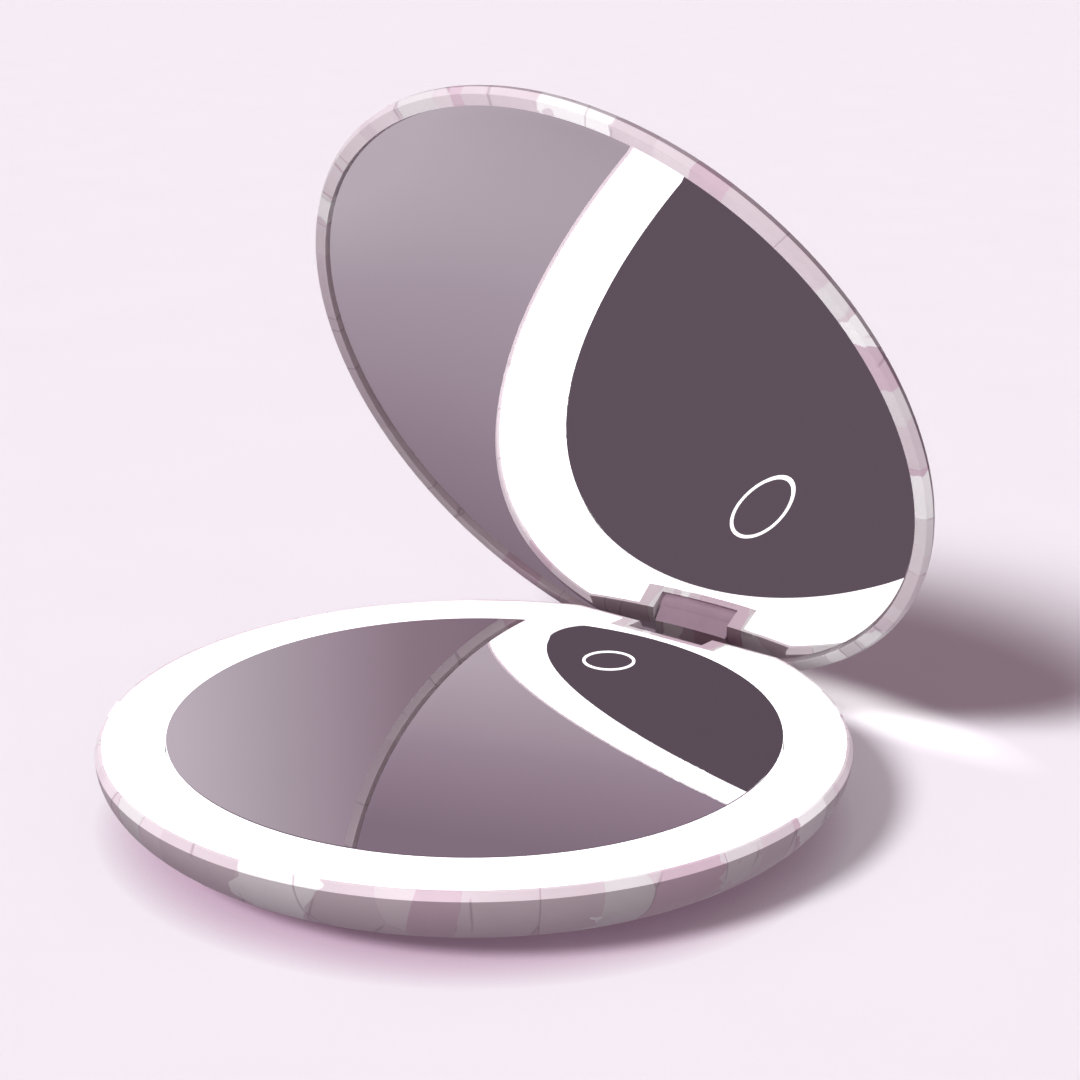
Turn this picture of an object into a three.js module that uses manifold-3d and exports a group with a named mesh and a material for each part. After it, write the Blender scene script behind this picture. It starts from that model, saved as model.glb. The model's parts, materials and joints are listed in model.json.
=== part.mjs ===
// Folding lit compact mirror, in millimetres. +Z is up and +Y points to the hinge.
// The origin is the centre of the base's flat underside; the lid stands open as in use.
import * as THREE from "three";
import { mergeVertices } from "three/addons/utils/BufferGeometryUtils.js";
import Module from "manifold-3d";

const wasm = await Module();
wasm.setup();

// ---- Driving dimensions -------------------------------------------------------------
const RIM_R = 44.5; // radius of both shells at their widest line
const RIM_LIP = 0.3; // flat lip between the light ring and the chamfer
const CHAMFER_W = 0.46; // chamfer round both rims, across
const CHAMFER_H = 0.93; // chamfer round both rims, in height
const ROUND = 72; // sides of the large round pieces
const SMALL_ROUND = 10; // sides of screws, posts and their holes

const BASE_FACE = 10.2; // height of the mirror and the light ring
const FOOT_R = 27.6; // radius of the flat underside
const FLOOR = 1.5; // thickness of the underside
const CAVITY_R = 42.4; // the bowl's inner radius at its ledge
const CAVITY_FLOOR_R = 26.5;
const LEDGE = 8.6; // height of the ledge that carries the light ring
const RING_SEAT_R = RIM_R - CHAMFER_W - RIM_LIP;

const MIRROR_R = 36.4; // flat base mirror
const GLASS = 1.8;
const TAPE = 0.2;
const RING_INNER_R = 36.6;
const RING_OUTER_R = RING_SEAT_R - 0.12;
const TRAY_TOP = BASE_FACE - GLASS - TAPE;
const TRAY_BOTTOM = 7.0;
const FLANGE_BOTTOM = 6.5;
const LED_BOARD_TOP = 7.6;
const LED_RING_R = 39.3;
const LED_COUNT = 12;
const LED_HEIGHT = 0.6;

const TOUCH_Y = 26.2; // centre of the touch circle on the mirror
const TOUCH_R = 3.15; // middle of its printed line
const TOUCH_LINE = 0.5;
const TOUCH_INK = 0.08;

const HINGE_Y = 38.95; // hinge axis, along X
const HINGE_Z = BASE_FACE - 2.12;
const KNUCKLE_R = 1.6;
const KNUCKLE_HALF = 5.7; // half the knuckle's length
const POCKET_R = 1.8; // pocket round the knuckle
const POCKET_HALF = 5.95;
const BLOCK_HALF = 8.4; // half the width of the hinge block in the base
const NOTCH_FRONT = 38.4; // front edge of the opening over the knuckle
const BLOCK_FRONT = 37.6; // front edge of the block's frame in the light ring
const PIN_R = 0.6;
const PIN_HOLE_R = 0.66;
const PIN_HALF = 7.9;
const OPEN_DEG = 62.4; // lid angle as it stands, from closed
const FULLY_OPEN_DEG = 110;

const LID_GAP = 1.0; // between the two faces when closed
const LID_FACE = BASE_FACE + LID_GAP;
const LID_DOME = 7.12; // height of the lid's back over its widest line
const LID_EDGE = LID_FACE + 0.8; // height of the widest line
const LID_MIRROR_R = 42.4;
const LID_RECESS_R = 42.55; // inner edge of the bezel
const LID_MIRROR_SET_BACK = 0.7; // the glass lies this far inside the bezel
const LID_GLASS = 1.6;
const LID_MIRROR_RADIUS = 238; // radius of curvature of the magnifying mirror
const LID_TAPE_GAP = 0.4; // glass to shell, filled by the tape
const FACE_TO_AXIS = LID_FACE - HINGE_Z;
const REAR_CLEARANCE = 0.2; // lid face to the base's rear facet

const PORT_Z = 4.7; // centre of the charging port in the side wall
const PORT_MOUTH_X = -39.8;
const PORT_WIDTH = 8.94;
const PORT_HEIGHT = 3.26;
const PORT_DEPTH = 7.35;
const SCREW_POST = { x: 24, y: 20 };

// ---- Geometry helpers ---------------------------------------------------------------
const degrees = (angle) => (angle * Math.PI) / 180;

// A solid of revolution about +Z from [radius, height] points, counter-clockwise.
function turned(profile, sides = ROUND) {
  const points = profile.map(([r, z]) => new THREE.Vector2(r, z));
  return new THREE.LatheGeometry(points, sides).rotateX(Math.PI / 2);
}

// A ring of rectangular section.
function ring(inner, outer, low, high, sides = ROUND) {
  return turned([[inner, low], [outer, low], [outer, high], [inner, high], [inner, low]], sides);
}

function disc(radius, low, high, sides = 32) {
  return turned([[0, low], [radius, low], [radius, high], [0, high]], sides);
}

function box(x, y, z) {
  const size = [x, y, z].map(([low, high]) => high - low);
  const middle = [x, y, z].map(([low, high]) => (high + low) / 2);
  return new THREE.BoxGeometry(...size).translate(...middle);
}

// An outline of [y, z] points carried along X from -half to half.
function along_x(outline, half) {
  const shape = new THREE.Shape(outline.map(([y, z]) => new THREE.Vector2(y, z)));
  const geometry = new THREE.ExtrudeGeometry(shape, { depth: 2 * half, bevelEnabled: false });
  const turn = new THREE.Matrix4().makeBasis(
    new THREE.Vector3(0, 1, 0),
    new THREE.Vector3(0, 0, 1),
    new THREE.Vector3(1, 0, 0),
  );
  return geometry.applyMatrix4(turn).translate(-half, 0, 0);
}

// A round rod along X.
function rod_x(radius, half, y, z, sides = 32) {
  return new THREE.CylinderGeometry(radius, radius, 2 * half, sides)
    .rotateZ(Math.PI / 2)
    .translate(0, y, z);
}

// A prism of a slot-shaped outline, centred on the origin, its length along X.
function slot_prism(width, height, depth) {
  const end = height / 2;
  const flat = width / 2 - end;
  const shape = new THREE.Shape();
  shape.absarc(flat, 0, end, -Math.PI / 2, Math.PI / 2, false);
  shape.absarc(-flat, 0, end, Math.PI / 2, (3 * Math.PI) / 2, false);
  const options = { depth, bevelEnabled: false, curveSegments: 8 };
  const turn = new THREE.Matrix4().makeBasis(
    new THREE.Vector3(0, 1, 0),
    new THREE.Vector3(0, 0, 1),
    new THREE.Vector3(1, 0, 0),
  );
  return new THREE.ExtrudeGeometry(shape, options).applyMatrix4(turn);
}

function tube(points, radius, steps, sides = 8) {
  const path = new THREE.CatmullRomCurve3(points.map((p) => new THREE.Vector3(...p)));
  const shape = new THREE.Shape();
  for (let i = 0; i < sides; i++) {
    const a = (2 * Math.PI * i) / sides;
    const corner = [radius * Math.cos(a), radius * Math.sin(a)];
    if (i) shape.lineTo(...corner);
    else shape.moveTo(...corner);
  }
  return new THREE.ExtrudeGeometry(shape, { steps, extrudePath: path, bevelEnabled: false });
}

// Points on an arc about a centre, angles in degrees.
function arc([cy, cz], radius, from, to, steps) {
  return Array.from({ length: steps + 1 }, (_, i) => {
    const a = degrees(from + ((to - from) * i) / steps);
    return [cy + radius * Math.cos(a), cz + radius * Math.sin(a)];
  });
}

// A quarter of an ellipse from its vertical end to its flat end, or part of it.
function quarter(centre_r, centre_z, across, height, from, to, steps) {
  return Array.from({ length: steps + 1 }, (_, i) => {
    const a = degrees(from + ((to - from) * i) / steps);
    return [centre_r + across * Math.cos(a), centre_z + height * Math.sin(a)];
  });
}

function solid(geometry) {
  const bare = geometry.clone();
  bare.deleteAttribute("normal");
  bare.deleteAttribute("uv");
  const merged = mergeVertices(bare, 1e-4);
  return new wasm.Manifold(
    new wasm.Mesh({
      numProp: 3,
      vertProperties: new Float32Array(merged.attributes.position.array),
      triVerts: new Uint32Array(merged.index.array),
    }),
  );
}

const join = (first, ...rest) => rest.reduce((sum, g) => sum.add(solid(g)), solid(first));
const cut = (body, ...tools) => tools.reduce((left, g) => left.subtract(solid(g)), body);

function geometry_of(body) {
  const mesh = body.getMesh();
  const geometry = new THREE.BufferGeometry();
  geometry.setAttribute("position", new THREE.BufferAttribute(mesh.vertProperties, 3));
  geometry.setIndex(new THREE.BufferAttribute(mesh.triVerts, 1));
  geometry.computeVertexNormals();
  return geometry;
}

const finish = (color, roughness, metalness) => ({ color, roughness, metalness });
const SHELL = finish("#d9c6d2", 0.28, 0);
const OPAL = finish("#fbf9fb", 0.35, 0);
const WHITE_PLASTIC = finish("#ecebea", 0.5, 0);
const SILVERED = finish("#8a7c86", 0.03, 1);
const BOARD = finish("#1f5a3c", 0.45, 0);
const CHIP = finish("#1c1c1f", 0.4, 0);
const LED = finish("#fff3c8", 0.3, 0);
const STEEL = finish("#b9bcc0", 0.25, 1);
const POUCH = finish("#c2c5c9", 0.3, 0.8);
const ADHESIVE = finish("#e6e3dc", 0.8, 0);
const INK = finish("#ffffff", 0.4, 0);
const RED = finish("#b3262b", 0.5, 0);
const BLACK = finish("#202024", 0.5, 0);

const compact = new THREE.Group();

function part(name, geometry, look, parent = compact) {
  const mesh = new THREE.Mesh(geometry, new THREE.MeshStandardMaterial(look));
  mesh.name = name;
  parent.add(mesh);
  return mesh;
}

// ---- Shared outlines ----------------------------------------------------------------
const base_edge = BASE_FACE - CHAMFER_H;

// Everything behind the rear facet: a rounded edge about the hinge, then a flat that
// the lid's face meets when fully open.
function behind_rear_facet(clearance) {
  const radius = FACE_TO_AXIS - clearance;
  const axis = [HINGE_Y, HINGE_Z];
  const turn = 90 - FULLY_OPEN_DEG;
  const edge = arc(axis, radius, turn, 46, 8);
  const away = degrees(turn - 90);
  const low = [edge[0][0] + 9 * Math.cos(away), edge[0][1] + 9 * Math.sin(away)];
  const top = edge[edge.length - 1];
  return [low, ...edge, [top[0], BASE_FACE + 5], [RIM_R + 5, BASE_FACE + 5], [RIM_R + 5, low[1]]];
}

// The slot that the knuckle and the lid's arm swing in, open to the rear.
function hinge_slot() {
  const axis = [HINGE_Y, HINGE_Z];
  const front = HINGE_Y - NOTCH_FRONT;
  const first = 180 - (Math.acos(front / POCKET_R) * 180) / Math.PI;
  const last = 270 - (FULLY_OPEN_DEG - 108.5);
  const bottom = degrees(last);
  return [
    [NOTCH_FRONT, BASE_FACE + 2],
    ...arc(axis, POCKET_R, first, last, 14),
    [HINGE_Y + 7 * Math.cos(bottom), HINGE_Z + 7 * Math.sin(bottom)],
    [RIM_R + 5, HINGE_Z + 7 * Math.sin(bottom)],
    [RIM_R + 5, BASE_FACE + 2],
  ];
}

// ---- Base ---------------------------------------------------------------------------
function base_shell() {
  const outside = turned([
    [0, 0],
    [FOOT_R, 0],
    ...quarter(FOOT_R, base_edge, RIM_R - FOOT_R, base_edge, -76, 0, 7),
    [RIM_R - CHAMFER_W, BASE_FACE],
    [0, BASE_FACE],
  ]);
  const cavity = turned([
    [0, FLOOR],
    [CAVITY_FLOOR_R, FLOOR],
    ...quarter(CAVITY_FLOOR_R, LEDGE, CAVITY_R - CAVITY_FLOOR_R, LEDGE - FLOOR, -72, 0, 4),
    [CAVITY_R, LEDGE + 0.5],
    [0, LEDGE + 0.5],
  ]);
  const seat = disc(RING_SEAT_R, LEDGE, BASE_FACE + 1, ROUND);
  const ahead_of = (y) => box([-50, 50], [-50, y], [-5, 20]);
  const hollow = solid(cavity).intersect(solid(ahead_of(39.2)));
  const seat_hollow = solid(seat).intersect(solid(ahead_of(40.62)));
  const block = [
    box([-BLOCK_HALF, BLOCK_HALF], [36.0, 41.2], [1, TRAY_TOP]),
    box([-BLOCK_HALF, BLOCK_HALF], [36.6, 41.2], [TRAY_TOP - 0.5, 9.4]),
    box([-BLOCK_HALF, BLOCK_HALF], [BLOCK_FRONT, 41.2], [9, BASE_FACE]),
  ];
  let shell = solid(outside).subtract(hollow).subtract(seat_hollow);
  for (const piece of block) shell = shell.add(solid(piece).intersect(solid(outside)));
  for (const [x, y] of post_places()) shell = shell.add(solid(post(x, y)));
  for (const [x, y, height] of board_posts()) {
    shell = shell.add(solid(disc(1.5, 1, height, SMALL_ROUND).translate(x, y, 0)));
  }
  const port = slot_prism(PORT_WIDTH + 0.7, PORT_HEIGHT + 0.44, 14);
  shell = cut(
    shell,
    along_x(behind_rear_facet(REAR_CLEARANCE), 25),
    along_x(hinge_slot(), POCKET_HALF),
    rod_x(PIN_HOLE_R, BLOCK_HALF + 1, HINGE_Y, HINGE_Z),
    port.translate(-46, 0, PORT_Z),
  );
  for (const [x, y] of post_places()) {
    shell = cut(shell, disc(0.8, 2.2, 9, SMALL_ROUND).translate(x, y, 0));
  }
  for (const [x, y, height] of board_posts()) {
    shell = cut(shell, disc(0.55, height - 1.6, height + 1, SMALL_ROUND).translate(x, y, 0));
  }
  return geometry_of(shell);
}

function post_places() {
  const { x, y } = SCREW_POST;
  return [[x, y], [-x, y], [-x, -y], [x, -y]];
}

const post = (x, y) => disc(2.4, 1, TRAY_BOTTOM, SMALL_ROUND).translate(x, y, 0);

// Posts for the two boards: x, y and height of their tops.
const MAIN_BOARD_Z = 3.4;
const CHARGE_BOARD_Z = 4.3;
function board_posts() {
  return [
    [-10.5, 15, MAIN_BOARD_Z],
    [10.5, 15, MAIN_BOARD_Z],
    [-22.5, -5.2, CHARGE_BOARD_Z],
    [-22.5, 5.2, CHARGE_BOARD_Z],
  ];
}

// Room for the hinge block inside the tray, the boards and the light ring.
const block_room = (front, low, high) =>
  box([-BLOCK_HALF - 0.4, BLOCK_HALF + 0.4], [front, 50], [low, high]);

function mirror_tray() {
  const body = turned([
    [0, TRAY_BOTTOM],
    [36.2, TRAY_BOTTOM],
    [36.2, FLANGE_BOTTOM],
    [40.3, FLANGE_BOTTOM],
    [40.3, LED_BOARD_TOP - 0.6],
    [37.5, LED_BOARD_TOP - 0.6],
    [37.5, LEDGE],
    [MIRROR_R + 0.15, LEDGE],
    [MIRROR_R + 0.15, TRAY_TOP],
    [0, TRAY_TOP],
  ]);
  let tray = cut(
    solid(body),
    block_room(35.6, 0, 20),
    box([-50, 50], [38.9, 50], [0, 20]),
    disc(3.4, 0, 20, 24).translate(0, TOUCH_Y, 0),
  );
  for (const [x, y] of post_places()) {
    tray = cut(
      tray,
      disc(1.15, 0, 20, SMALL_ROUND).translate(x, y, 0),
      disc(2.05, TRAY_TOP - 0.85, 20, SMALL_ROUND).translate(x, y, 0),
    );
  }
  return geometry_of(tray);
}

function light_ring() {
  const body = solid(ring(RING_INNER_R, RING_OUTER_R, LEDGE, BASE_FACE));
  return geometry_of(
    cut(
      body,
      box([-50, 50], [40.5, 50], [0, 20]),
      box([-BLOCK_HALF - 0.1, BLOCK_HALF + 0.1], [BLOCK_FRONT - 0.1, 50], [0, 20]),
      block_room(35, 0, 9.5),
    ),
  );
}

function led_board() {
  const body = solid(ring(37.7, 40.9, LED_BOARD_TOP - 0.6, LED_BOARD_TOP));
  return geometry_of(cut(body, block_room(35, 0, 20), box([-50, 50], [38.9, 50], [0, 20])));
}

function led_angle(index) {
  const first = 112;
  const last = 428;
  return degrees(first + ((last - first) * index) / (LED_COUNT - 1));
}

function touch_spring() {
  const turns = 3.5;
  const low = MAIN_BOARD_Z + 1.05;
  const high = TRAY_TOP - 0.2;
  const points = Array.from({ length: 43 }, (_, i) => {
    const share = i / 42;
    const angle = 2 * Math.PI * turns * share;
    return [2.4 * Math.cos(angle), TOUCH_Y + 2.4 * Math.sin(angle), low + (high - low) * share];
  });
  return tube(points, 0.22, 56, 5);
}

function main_board() {
  const z = [MAIN_BOARD_Z, MAIN_BOARD_Z + 0.8];
  const board = solid(box([-13, 13], [12, 31.5], z));
  return geometry_of(
    cut(
      board,
      disc(0.75, 0, 20, SMALL_ROUND).translate(-10.5, 15, 0),
      disc(0.75, 0, 20, SMALL_ROUND).translate(10.5, 15, 0),
    ),
  );
}

function charge_board() {
  const z = [CHARGE_BOARD_Z, CHARGE_BOARD_Z + 0.8];
  const board = solid(box([-36.5, -20.5], [-7.2, 7.2], z));
  const bay = PORT_WIDTH / 2 + 0.15;
  return geometry_of(
    cut(
      board,
      box([-45, PORT_MOUTH_X + PORT_DEPTH + 0.15], [-bay, bay], [0, 20]),
      disc(0.75, 0, 20, SMALL_ROUND).translate(-22.5, -5.2, 0),
      disc(0.75, 0, 20, SMALL_ROUND).translate(-22.5, 5.2, 0),
    ),
  );
}

function port_shell() {
  const wall = 0.3;
  const outer = slot_prism(PORT_WIDTH, PORT_HEIGHT, PORT_DEPTH);
  const inner = slot_prism(PORT_WIDTH - 2 * wall, PORT_HEIGHT - 2 * wall, PORT_DEPTH);
  const body = cut(solid(outer), inner.translate(-0.6, 0, 0));
  return geometry_of(body).translate(PORT_MOUTH_X, 0, PORT_Z);
}

function screw(head_r, head_h, shank_r, length) {
  return turned(
    [[0, -length], [shank_r * 0.5, -length], [shank_r, -length + 0.6], [shank_r, 0],
      [head_r, 0], [head_r, head_h * 0.6], [head_r * 0.75, head_h], [0, head_h]],
    SMALL_ROUND,
  );
}

part("base_shell", base_shell(), SHELL);
part("mirror_tray", mirror_tray(), WHITE_PLASTIC);
part("light_ring", light_ring(), OPAL);
part("led_board", led_board(), WHITE_PLASTIC);
for (let i = 0; i < LED_COUNT; i++) {
  const led = new THREE.BoxGeometry(2.8, 1.4, LED_HEIGHT);
  const angle = led_angle(i);
  const mesh = part(`led_${String(i + 1).padStart(2, "0")}`, led, LED);
  mesh.position.set(
    LED_RING_R * Math.cos(angle),
    LED_RING_R * Math.sin(angle),
    LED_BOARD_TOP + LED_HEIGHT / 2,
  );
  mesh.rotation.z = angle + Math.PI / 2;
}
const tape_hole = disc(3.6, 0, 20, 24).translate(0, TOUCH_Y, 0);
const base_tape = cut(solid(disc(34, TRAY_TOP, TRAY_TOP + TAPE, 48)), tape_hole);
part("mirror_tape", geometry_of(base_tape), ADHESIVE);
part("base_mirror", disc(MIRROR_R, BASE_FACE - GLASS, BASE_FACE, ROUND), SILVERED);
const touch_inner = TOUCH_R - TOUCH_LINE / 2;
const touch_outer = TOUCH_R + TOUCH_LINE / 2;
const touch_circle = ring(touch_inner, touch_outer, BASE_FACE, BASE_FACE + TOUCH_INK, 32);
part("touch_circle", touch_circle.translate(0, TOUCH_Y, 0), INK);
part("touch_spring", touch_spring(), STEEL);

const board_top = MAIN_BOARD_Z + 0.8;
part("main_board", main_board(), BOARD);
part("touch_chip", box([-2.5, 2.5], [17, 21], [board_top, board_top + 0.9]), CHIP);
part("driver_chip", box([-9.5, -6.5], [20, 23], [board_top, board_top + 0.9]), CHIP);
part("power_coil", disc(2, board_top, board_top + 1.6, 24).translate(8.5, 22, 0), CHIP);
part("charge_board", charge_board(), BOARD);
const charge_top = CHARGE_BOARD_Z + 0.8;
part("charge_chip", box([-30, -26], [-2, 2], [charge_top, charge_top + 0.8]), CHIP);
part("charge_port", port_shell(), STEEL);
const tongue_x = [PORT_MOUTH_X + 1.2, PORT_MOUTH_X + PORT_DEPTH - 0.7];
part("charge_port_tongue", box(tongue_x, [-3.35, 3.35], [PORT_Z - 0.35, PORT_Z + 0.35]), CHIP);

part("battery_pad", box([-12, 14], [-19, -3], [FLOOR, FLOOR + 0.5]), ADHESIVE);
const pouch = box([-14, 16], [-21, -1], [FLOOR + 0.5, FLOOR + 4.5]);
part("battery", pouch, POUCH);

// Leads that the housing holds all the way.
const lead_z = charge_top + 0.45;
part(
  "battery_lead_red",
  tube([[-14.4, -7, 4.4], [-16, -7, 4.7], [-17.8, -5.6, 5.2], [-19.2, -4.2, 5.6],
    [-21.4, -2.9, lead_z]], 0.4, 12, 6),
  RED,
);
part(
  "battery_lead_black",
  tube([[-14.4, -9, 4.4], [-16.6, -9, 4.8], [-19.3, -8.4, 5.4], [-21.8, -7.6, 5.7],
    [-24.8, -6.4, lead_z]], 0.4, 12, 6),
  BLACK,
);
part(
  "board_lead",
  tube([[-21.2, 2.6, lead_z], [-18.5, 4.8, lead_z + 0.2], [-15.6, 9, 5.1], [-13.6, 12.6, 4.8],
    [-11.6, 17.6, 4.66]], 0.4, 14, 6),
  RED,
);
part(
  "led_lead",
  tube([[11.8, 24.5, 4.66], [14.6, 25.6, 4.9], [19.5, 27.5, 5.3], [25.5, 28.4, 5.7],
    [29.2, 28.3, 5.95]], 0.4, 14, 6),
  BLACK,
);

post_places().forEach(([x, y], i) => {
  const mesh = part(`tray_screw_${i + 1}`, screw(1.85, 0.75, 0.72, 4.2), STEEL);
  mesh.position.set(x, y, TRAY_TOP - 0.85);
});
board_posts().forEach(([x, y, height], i) => {
  const mesh = part(`board_screw_${i + 1}`, screw(1.3, 0.7, 0.48, 2.2), STEEL);
  mesh.position.set(x, y, height + 0.8);
});
part("hinge_pin", rod_x(PIN_R, PIN_HALF, HINGE_Y, HINGE_Z), STEEL);

// ---- Lid, drawn closed and turned open about the hinge ------------------------------
const lid = new THREE.Group();
lid.rotation.x = -degrees(OPEN_DEG);
lid.position.set(0, HINGE_Y, HINGE_Z);
const lid_closed = new THREE.Group();
lid_closed.position.set(0, -HINGE_Y, -HINGE_Z);
lid.add(lid_closed);
compact.add(lid);

const sphere_height = (r) => Math.sqrt(LID_MIRROR_RADIUS ** 2 - r * r);
const glass_front = (r) =>
  LID_FACE + LID_MIRROR_SET_BACK + sphere_height(r) - sphere_height(LID_MIRROR_R);

// Points of a surface that lies a set distance behind the glass's front, out to a rim.
const TAPE_R = 38;
const stations = [0, 1 / 3, 2 / 3, 1].map((share) => share * TAPE_R);
function behind_glass(distance, rim) {
  const radii = rim > TAPE_R ? [...stations, rim] : stations;
  return radii.map((r) => [r, glass_front(r) + distance]);
}

function lid_shell() {
  const seat = LID_GLASS + LID_TAPE_GAP;
  const body = turned([
    ...behind_glass(seat, LID_RECESS_R),
    [LID_RECESS_R, LID_FACE],
    [RIM_R - CHAMFER_W, LID_FACE],
    ...quarter(0, LID_EDGE, RIM_R, LID_DOME, 0, 90, 9),
  ]);
  const [y, z] = [HINGE_Y, HINGE_Z];
  const arm = along_x(
    [
      [y - 0.4, z + 1.2], [y + 1.2, z + 1.0], [y + 5.1, z + 2.1], [RIM_R - 0.3, LID_FACE + 0.6],
      [LID_RECESS_R + 0.1, LID_FACE + 0.6], [LID_RECESS_R - 0.15, LID_FACE],
      [y + 0.9, LID_FACE - 0.15], [y - 0.6, z + 1.48],
    ],
    KNUCKLE_HALF,
  );
  const knuckle = rod_x(KNUCKLE_R, KNUCKLE_HALF, y, z);
  const shell = join(body, arm, knuckle);
  return geometry_of(cut(shell, rod_x(PIN_HOLE_R, KNUCKLE_HALF + 1, y, z)));
}

const lid_mirror = turned([
  ...behind_glass(0, LID_MIRROR_R),
  ...behind_glass(LID_GLASS, LID_MIRROR_R).reverse(),
]);
const tape_gap = (LID_TAPE_GAP - 0.3) / 2;
const lid_tape = turned([
  ...behind_glass(LID_GLASS + tape_gap, TAPE_R),
  ...behind_glass(LID_GLASS + LID_TAPE_GAP - tape_gap, TAPE_R).reverse(),
]);
part("lid_shell", lid_shell(), SHELL, lid_closed);
part("lid_mirror", lid_mirror, SILVERED, lid_closed);
part("lid_mirror_tape", lid_tape, ADHESIVE, lid_closed);

export default compact;
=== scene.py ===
"""Folding lit compact mirror, standing open on a pale floor.

+Y points to the hinge and +Z is up, in metres. The lid is drawn closed and then turned open.
"""

import json
import math

import bmesh
import bpy
from mathutils import Matrix, Vector


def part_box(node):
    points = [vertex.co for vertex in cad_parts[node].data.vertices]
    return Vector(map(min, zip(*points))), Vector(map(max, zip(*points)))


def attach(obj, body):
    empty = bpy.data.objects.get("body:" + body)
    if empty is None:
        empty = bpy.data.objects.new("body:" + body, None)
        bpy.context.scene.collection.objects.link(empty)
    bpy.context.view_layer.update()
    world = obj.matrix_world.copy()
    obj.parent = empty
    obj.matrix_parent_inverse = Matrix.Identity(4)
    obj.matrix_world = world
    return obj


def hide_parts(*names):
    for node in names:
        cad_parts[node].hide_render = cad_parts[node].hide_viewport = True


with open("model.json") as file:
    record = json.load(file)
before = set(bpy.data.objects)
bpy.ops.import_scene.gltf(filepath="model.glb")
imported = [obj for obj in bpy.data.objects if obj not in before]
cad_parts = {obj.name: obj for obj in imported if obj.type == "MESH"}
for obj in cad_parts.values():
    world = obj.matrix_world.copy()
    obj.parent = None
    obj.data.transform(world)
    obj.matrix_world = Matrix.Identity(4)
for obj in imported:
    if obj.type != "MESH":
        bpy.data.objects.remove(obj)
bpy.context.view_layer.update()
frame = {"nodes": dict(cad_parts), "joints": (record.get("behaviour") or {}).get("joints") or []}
MM = 0.001

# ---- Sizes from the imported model, in millimetres ------------------------------------------


def box_mm(node):
    low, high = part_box(node)
    return low / MM, high / MM


shell_high = box_mm("base_shell")[1]
glass_low, glass_high = box_mm("base_mirror")
ring_low, ring_high = box_mm("light_ring")
lid_glass_high = box_mm("lid_mirror")[1]
circle_low, circle_high = box_mm("touch_circle")
port_low, port_high = box_mm("charge_port")
tongue_low, tongue_high = box_mm("charge_port_tongue")

hinge = frame["joints"][0]
HINGE = Vector(hinge["pos_m"]) / MM
OPEN = math.radians(-hinge["range_deg"][0])

RIM_R = shell_high.x
FACE = glass_high.z
MIRROR_R = glass_high.x
RING_OUTER_R = ring_high.x
RING_LOW = ring_low.z
LID_MIRROR_R = lid_glass_high.x
TOUCH_R = (circle_high.x - circle_low.x) / 2
TOUCH_Y = (circle_high.y + circle_low.y) / 2

# ---- Sizes of the mouldings, in millimetres -----------------------------------------------
# Steps round a turned piece.
SEGMENTS = 256
ROUND = 0.12
FINE_ROUND = 0.1
# Well past the outside of the object.
FAR = 50
CHAMFER_W = 0.46
CHAMFER_H = 0.93
LIP = 0.3
FOOT_R = 27.6
CAVITY_FLOOR_Z = 1.5
CAVITY_R = 42.4
CAVITY_FLOOR_R = 26.5
RING_GAP = 0.2
TOUCH_LINE = 0.38
CAVITY_REAR = 39.2
SEAT_REAR = 40.62
BLOCK_HALF = 8.4
BLOCK_FRONT = 37.6
BLOCK_STEP_FRONT = 36.6
BLOCK_FOOT_FRONT = 36.0
BLOCK_BACK = 41.2
NOTCH_FRONT = 38.4
RING_REAR = 40.5
KNUCKLE_R = 1.6
KNUCKLE_HALF = 5.7
POCKET_R = 1.8
POCKET_HALF = 5.95
PIN_HOLE_R = 0.66
FULLY_OPEN = 110.0
REAR_CLEARANCE = 0.2
PORT_WALL = 0.3
PORT_OPENING = (9.64, 3.7)
CONTACTS = 12
CONTACT_PITCH = 0.5
CONTACT_SIZE = (2.4, 0.26, 0.06)
CONTACT_BACK = 1.6
LID_GAP = 1.0
LID_FACE = FACE + LID_GAP
LID_EDGE = LID_FACE + 0.8
LID_DOME = 7.12
LID_RECESS_R = 42.55
LID_SET_BACK = 0.7
LID_GLASS = 1.6
LID_SEAT = 2.0
LID_CURVE = 238.0
PORT_Z = (port_high.z + port_low.z) / 2

OPEN_LID = (
    Matrix.Translation(HINGE) @ Matrix.Rotation(-OPEN, 4, "X") @ Matrix.Translation(-HINGE)
)


# ---- Camera -------------------------------------------------------------------------------
# Turn to the right, tilt down and roll, in degrees.
VIEW_ANGLES = (38.793, 17.445, 0.399)
VIEW_PLACE = (0.148218, -0.172482, 0.104209)
VIEW_LENS = 68.625


def add_camera():
    azimuth, elevation, roll = (math.radians(angle) for angle in VIEW_ANGLES)
    forward = Vector(
        (
            -math.sin(azimuth) * math.cos(elevation),
            math.cos(azimuth) * math.cos(elevation),
            -math.sin(elevation),
        )
    )
    level = Vector((math.cos(azimuth), math.sin(azimuth), 0))
    right = level * math.cos(roll) + level.cross(forward) * math.sin(roll)
    up = right.cross(forward)
    data = bpy.data.cameras.new("camera")
    data.lens = VIEW_LENS
    data.sensor_width = 36
    data.clip_start = 0.01
    data.clip_end = 50
    camera = bpy.data.objects.new("camera", data)
    turn = Matrix((right, up, -forward)).transposed().to_4x4()
    camera.matrix_world = Matrix.Translation(VIEW_PLACE) @ turn
    bpy.context.collection.objects.link(camera)
    bpy.context.scene.camera = camera


add_camera()
bpy.context.scene.view_settings.view_transform = "Standard"


# ---- Mesh tools (outlines in millimetres) -------------------------------------------------
def ellipse(centre, across, height, start, end, steps):
    """Points on an ellipse about a centre, angles in degrees."""
    points = []
    for i in range(steps + 1):
        a = math.radians(start + (end - start) * i / steps)
        points.append((centre[0] + across * math.cos(a), centre[1] + height * math.sin(a)))
    return points


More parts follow.
